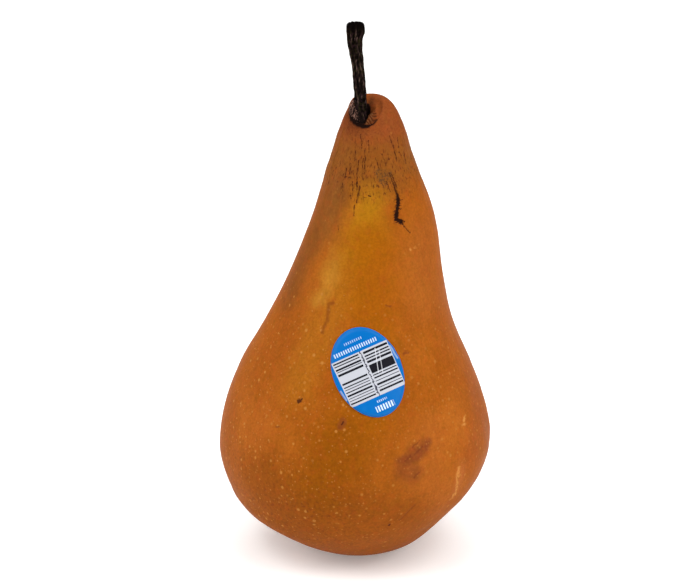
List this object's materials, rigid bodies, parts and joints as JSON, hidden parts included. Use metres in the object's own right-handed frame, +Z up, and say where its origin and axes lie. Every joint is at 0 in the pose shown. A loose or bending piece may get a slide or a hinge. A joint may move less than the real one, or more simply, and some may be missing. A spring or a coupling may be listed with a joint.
{
  "type": "pear",
  "caption": "Whole long-necked russet pear standing on its blossom end, with woody stalk, dried calyx and oval film label.",
  "frame": {"origin": "on the ground, under the middle of the pear's breadth and depth", "axes": "+Z up along the core to the stalk, the labelled front faces -Y"},
  "size_m": [0.077, 0.0752, 0.1533],
  "materials": {
    "skin": "satin russeted skin, golden brown",
    "stalk": "dry dark bark with lengthwise ridges",
    "calyx": "dry dark brown",
    "label": "glossy printed film, blue with a white panel"
  },
  "bodies": {
    "root": {"fruit": "skin", "stem": "stalk", "calyx": "calyx", "label": "label"}
  },
  "joints": []
}
